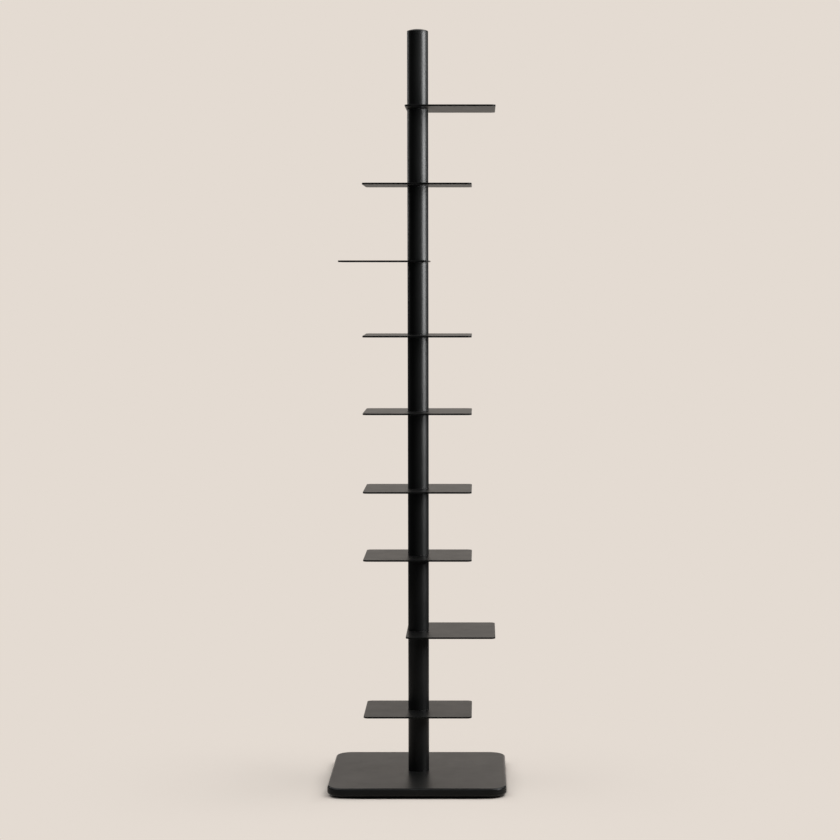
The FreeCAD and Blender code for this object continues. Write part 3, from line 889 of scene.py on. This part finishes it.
# %% [markdown]
# ## The studio
# The photograph has one warm pale tone from edge to edge, with only a soft shadow round the base. That
# is a paper sweep: floor and wall in one sheet with no corner. A lit sheet is never quite even, so
# most of its tone is its own, the same for what the camera sees and for what the coat mirrors. Near
# the object a share of it is lit by the lamps, and under the slab all of it, which keeps the shadow.
# Right under the slab the paper is darkened to a painted shade, for the thin dark line along its foot.
# Two things are there only for what the coat mirrors: close to the slab the sheet is dimmer, a painted
# shade in the reflections that keeps the slab's upright edges black, and under it a faint painted glow
# shows the pocket and the glides. From behind and below the camera looks through the sheet, so that
# every side of the tower can be seen.

# %% Paper sweep
PAPER = (0.776, 0.708, 0.644, 1)
FLOOR_HALF_WIDTH, WALL_HALF_WIDTH = 0.95, 0.5
NARROWS_FROM = 0.5
PAPER_FRONT, PAPER_WALL, PAPER_TOP = -0.62, 2.3, 3.0
PAPER_BEND = 0.9
ALONG_POINTS, ACROSS_POINTS = 40, 24

bend_starts = PAPER_WALL - PAPER_BEND
floor_depth = np.linspace(PAPER_FRONT, bend_starts, ALONG_POINTS)
floor = np.stack([floor_depth, np.zeros(ALONG_POINTS)], axis=-1)
turn = np.linspace(0, math.pi / 2, ALONG_POINTS)
bend = np.stack([bend_starts + PAPER_BEND * np.sin(turn), PAPER_BEND * (1 - np.cos(turn))], axis=-1)
along = np.vstack([floor, bend[1:], [[PAPER_WALL, PAPER_TOP]]])
half_width = np.interp(along[:, :1], [NARROWS_FROM, PAPER_WALL], [FLOOR_HALF_WIDTH, WALL_HALF_WIDTH])
across = half_width * np.linspace(-1, 1, ACROSS_POINTS)
sheet = np.zeros(across.shape + (3,))
sheet[..., 0], sheet[..., 1], sheet[..., 2] = across, along[:, :1], along[:, 1:]
number = np.arange(across.size).reshape(across.shape)
quads = np.stack([number[:-1, :-1], number[:-1, 1:], number[1:, 1:], number[1:, :-1]], axis=-1)
paper_mesh = bpy.data.meshes.new("paper_sweep")
paper_mesh.from_pydata(sheet.reshape(-1, 3), [], quads.reshape(-1, 4).tolist())
paper_mesh.polygons.foreach_set("use_smooth", np.ones(len(paper_mesh.polygons), bool))
paper = bpy.data.objects.new("paper_sweep", paper_mesh)
bpy.context.scene.collection.objects.link(paper)
paper.visible_shadow = False
paper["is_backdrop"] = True
print("paper sweep", 2 * FLOOR_HALF_WIDTH, "m wide")

# %% Where the paper is lit, or has painted shade, a dimmed reflection or a painted glow
LIT_SHARE = 0.4
LIT_NEAR, LIT_FAR = 0.35, 0.8
UNDER_SLAB, BESIDE_SLAB = 0.180, 0.240
# Painted shade: a darker paper colour right under the slab, for the dark line along its foot.
PAINTED_SHADE = (0.10, 0.09, 0.08, 1)
PAINTED_SHADE_INNER = (0.110, 0.110, 0.110)
PAINTED_SHADE_FULL, PAINTED_SHADE_ENDS = 0.064, 0.0715
# Painted shade in reflections: close to the slab, glossy rays see the paper dimmer.
MIRROR_SHADE_NEAR, MIRROR_SHADE_FAR, MIRROR_SHADE = 0.20, 0.40, 0.1
# Painted light: a faint glow of the paper under the slab, seen only in reflections.
GLOW = 0.15
GLOW_FULL, GLOW_ENDS = 0.135, 0.150

paper_look = bpy.data.materials.new("paper")
paper_look.use_nodes = True
tree = paper_look.node_tree
tree.nodes.clear()
ray = add(tree, "ShaderNodeLightPath").outputs
spot = add(tree, "ShaderNodeTexCoord").outputs["Object"]
distance = on_vector(tree, "LENGTH", spot)["Value"]
aside = on_vector(tree, "ABSOLUTE", spot)["Vector"]
# The painted shade is a square with round corners, measured outwards from a smaller square inside it.
outer = on_vector(tree, "SUBTRACT", aside, PAINTED_SHADE_INNER)["Vector"]
outer = on_vector(tree, "MAXIMUM", outer, (0, 0, 0))["Vector"]
outer = on_vector(tree, "LENGTH", outer)["Value"]
painted_shade_share = remap(tree, outer, PAINTED_SHADE_FULL, PAINTED_SHADE_ENDS, 1.0, 0.0)
split = add(tree, "ShaderNodeSeparateXYZ", Vector=aside).outputs
square = combined(tree, "MAXIMUM", split["X"], split["Y"])
near = remap(tree, distance, LIT_NEAR, LIT_FAR, LIT_SHARE, 0.0)
under = remap(tree, square, UNDER_SLAB, BESIDE_SLAB, 1.0, 0.0)
lit = combined(tree, "MAXIMUM", near, under)
# Painted shade for what the coat mirrors: the paper's own tone is dimmed near the slab for glossy rays.
mirrored_shade = remap(tree, square, MIRROR_SHADE_NEAR, MIRROR_SHADE_FAR, MIRROR_SHADE, 1.0)
tone = combined(tree, "MAXIMUM", mirrored_shade, combined(tree, "SUBTRACT", 1.0, ray["Is Glossy Ray"]))
# Painted light: the glow under the slab is given to glossy rays alone.
glow = remap(tree, square, GLOW_FULL, GLOW_ENDS, GLOW, 0.0)
glow = combined(tree, "MULTIPLY", ray["Is Glossy Ray"], glow)


# %% Paper material
def mix_shaders(tree, share, first, second):
    """Shader node that goes from the first to the second as the share goes from 0 to 1."""
    return add(tree, "ShaderNodeMixShader", _0=share, _1=first.outputs[0], _2=second.outputs[0])


own = add(tree, "ShaderNodeEmission", Color=PAPER, Strength=tone)
# The diffuse colour turns to the painted shade right under the slab.
by_lamps = add(tree, "ShaderNodeBsdfDiffuse", Color=mix_colours(tree, painted_shade_share, PAPER, PAINTED_SHADE))
below = add(tree, "ShaderNodeEmission", Color=PAPER, Strength=glow)
seen = mix_shaders(tree, lit, own, by_lamps)
seen = add(tree, "ShaderNodeAddShader", _0=seen.outputs[0], _1=below.outputs[0])
direct = combined(tree, "MAXIMUM", ray["Is Camera Ray"], ray["Is Glossy Ray"])
direct = combined(tree, "MAXIMUM", direct, ray["Is Transmission Ray"])
sheet_shader = mix_shaders(tree, direct, by_lamps, seen)
back = add(tree, "ShaderNodeNewGeometry").outputs["Backfacing"]
from_behind = combined(tree, "MULTIPLY", ray["Is Camera Ray"], back)
clear = add(tree, "ShaderNodeBsdfTransparent")
sheet_shader = mix_shaders(tree, from_behind, sheet_shader, clear)
surface = add(tree, "ShaderNodeOutputMaterial").inputs["Surface"]
feed(tree, surface, sheet_shader.outputs[0])
paper_mesh.materials.append(paper_look)
print("paper has", len(tree.nodes), "nodes")

# %% [markdown]
# ## Light and camera
# A tall soft box stands to the right, its lower edge at about half the height of the post: it draws the
# long highlight on the post, bright above and fading towards the base. A weaker one behind on the left
# draws the thin line on the post's left edge. A grid, the spread of the lamp, narrows their beams, and
# flags, black cards on stands, keep them off the paper: light linking leaves it out of what they light.
# Flags weaken the side box on the shelves too. Otherwise they would mirror it and look white to a
# camera on the left. Three wide lights from above give the soft shadow, one overhead and two that lean
# to the right and, weaker, to the left. The rest of the room is dark, which keeps the blacks deep. The
# camera stands 4.7 m away at two thirds of the tower's height and looks slightly down; a small shift
# frames it.

# %% Kinds of lamp
def flags(name, pieces, state):
    """Collection that lets a lamp reach these pieces alone, or every piece but these."""
    group = bpy.data.collections.new(name)
    for piece in pieces:
        group.objects.link(piece)
    for entry in group.collection_objects:
        entry.light_linking.link_state = state
    return group


def soft_box(name, place, aim, size, radiance, spread, reach):
    """Area lamp facing aim, which lights what the flags of its reach let through.

    Its power is radiance x pi x area, which a spread of so many degrees gathers ahead of it.
    """
    width, height = size
    lamp = bpy.data.lights.new(name, "AREA")
    lamp.shape = "RECTANGLE"
    lamp.size, lamp.size_y = width, height
    lamp.spread = math.radians(spread)
    lamp.energy = radiance * math.pi * width * height
    box = bpy.data.objects.new(name, lamp)
    box.location = place
    box.rotation_euler = (Vector(aim) - Vector(place)).to_track_quat("-Z", "Y").to_euler()
    bpy.context.scene.collection.objects.link(box)
    box.light_linking.receiver_collection = reach


def wide_light(name, right, back, strength, angle):
    """Sun lamp from above, leaning some degrees to the right and to the back, as wide as its angle."""
    lamp = bpy.data.lights.new(name, "SUN")
    lamp.energy = strength
    lamp.angle = math.radians(angle)
    light = bpy.data.objects.new(name, lamp)
    light.rotation_euler = (math.radians(-back), math.radians(right), 0)
    bpy.context.scene.collection.objects.link(light)


# %% Lamps
SIDE_BOX = dict(place=(2.202, -0.663, 1.80), aim=(0, 0, 1.80), size=(1.55, 2.2), spread=70)
RIM_BOX = dict(place=(-1.84, 1.54, 1.9), aim=(0, 0, 1.7), size=(0.5, 1.6), spread=60)

shelf_skins = [piece for piece in pieces_by_slot[COAT] if piece.name.startswith("shelf_")]
off_paper = flags("off_paper", [paper], "EXCLUDE")
off_shelves = flags("off_paper_and_shelves", [paper] + shelf_skins, "EXCLUDE")
shelves_alone = flags("shelves_alone", shelf_skins, "INCLUDE")
soft_box("side_box", **SIDE_BOX, radiance=5.6, reach=off_shelves)
soft_box("side_box_shelves", **SIDE_BOX, radiance=0.8, reach=shelves_alone)
soft_box("rim_box", **RIM_BOX, radiance=0.45, reach=off_paper)
wide_light("overhead", right=0, back=3, strength=1.45, angle=120)
wide_light("overhead_right", right=30, back=2, strength=1.3, angle=40)
wide_light("overhead_left", right=-30, back=2, strength=0.5, angle=40)
print("lamps:", [lamp.name for lamp in bpy.data.lights])

# %% World
ROOM_WHITE, ROOM_DARK = (1, 1, 1, 1), 0.09
world = bpy.data.worlds.new("studio_room")
bpy.context.scene.world = world
world.use_nodes = True
tree = world.node_tree
tree.nodes.clear()
room = add(tree, "ShaderNodeBackground", Color=ROOM_WHITE, Strength=ROOM_DARK)
backdrop = add(tree, "ShaderNodeBackground", Color=PAPER, Strength=1.0)
seen_directly = add(tree, "ShaderNodeLightPath").outputs["Is Camera Ray"]
shown = mix_shaders(tree, seen_directly, room, backdrop)
feed(tree, add(tree, "ShaderNodeOutputWorld").inputs["Surface"], shown.outputs[0])

# %% Camera
IMAGE_SIDE = 840
FOCAL_PIXELS = 2338.9
CENTRE_PIXEL = 480.36
SENSOR_WIDTH = 36.0
CAMERA_PLACE = (0.12606, -4.7342, 1.04642)
CAMERA_DOWN = 3.7277

camera_data = bpy.data.cameras.new("camera")
camera_data.sensor_width = SENSOR_WIDTH
camera_data.lens = FOCAL_PIXELS * SENSOR_WIDTH / IMAGE_SIDE
camera_data.shift_x = (IMAGE_SIDE / 2 - CENTRE_PIXEL) / IMAGE_SIDE
camera = bpy.data.objects.new("camera", camera_data)
camera.location = CAMERA_PLACE
camera.rotation_euler = (math.radians(90 - CAMERA_DOWN), 0, 0)
bpy.context.scene.collection.objects.link(camera)
bpy.context.scene.camera = camera
bpy.context.scene.view_settings.view_transform = "Standard"
print("camera lens", round(camera_data.lens, 2), "mm, shift", round(camera_data.shift_x, 4))

# %% [markdown]
# ## Sizes and the last line
# The dressed model has to fill the CAD model's box exactly: the skins have the same sizes as the
# solids.

# %% Measure the sizes
low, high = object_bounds()
